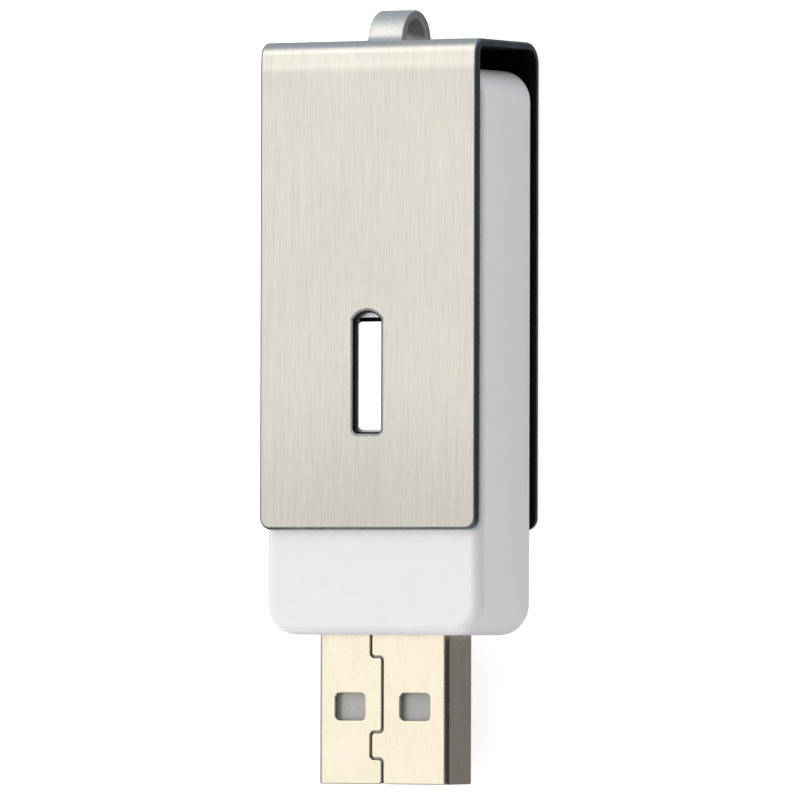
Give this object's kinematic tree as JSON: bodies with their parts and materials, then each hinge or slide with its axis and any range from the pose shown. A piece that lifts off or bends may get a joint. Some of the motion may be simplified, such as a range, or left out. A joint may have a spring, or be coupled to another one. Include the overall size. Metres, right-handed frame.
{
  "type": "usb flash drive",
  "caption": "Flat USB stick with a white plastic body and metal plug in a brushed steel U-shaped swivel cover that has a viewing slot and a key loop.",
  "frame": {"origin": "on the surface that the drive lies on, under the middle of its bounding box", "axes": "+X across the width; +Y along the length towards the key loop, so the plug points along -Y; +Z out of the slotted front plate"},
  "size_m": [0.0202, 0.0632, 0.0108],
  "materials": {
    "cover_steel": "brushed along its length, with darker punched edges",
    "stud_steel": "turned",
    "white_plastic": "satin moulded",
    "window_plastic": "milky light guide",
    "plug_plating": "nickel-plated sheet, slightly warm",
    "insulator_plastic": "moulded",
    "contact_gold": "gold-flashed",
    "board_laminate": "green solder resist on glass-fibre laminate",
    "chip_resin": "moulded black resin, unmarked",
    "tinned_leads": "tin-plated",
    "crystal_can": "ceramic with a metal lid",
    "led_lens": "clear lens",
    "capacitor_ceramic": "tan ceramic with tinned ends",
    "resistor_ceramic": "black film with tinned ends"
  },
  "bodies": {
    "drive": {"housing": "white_plastic", "rear_lid": "white_plastic", "light_window": "window_plastic", "plug_shell": "plug_plating", "plug_insulator": "insulator_plastic", "contact_vbus": "contact_gold", "contact_data_minus": "contact_gold", "contact_data_plus": "contact_gold", "contact_ground": "contact_gold", "circuit_board": "board_laminate", "flash_chip": "chip_resin", "flash_chip_leads": "tinned_leads", "controller_chip": "chip_resin", "controller_leads": "tinned_leads", "voltage_regulator": "chip_resin", "regulator_leads": "tinned_leads", "crystal_oscillator": "crystal_can", "activity_led": "led_lens", "ceramic_capacitors": "capacitor_ceramic", "chip_resistors": "resistor_ceramic"},
    "cover": {"swivel_cover": "cover_steel", "front_pivot_stud": "stud_steel", "rear_pivot_stud": "stud_steel"}
  },
  "joints": [
    {"name": "cover_swivel", "type": "hinge", "parent": "drive", "child": "cover", "pos_m": [0, -0.00507, 0.0054], "axis": [0, 0, 1], "continuous": true}
  ]
}
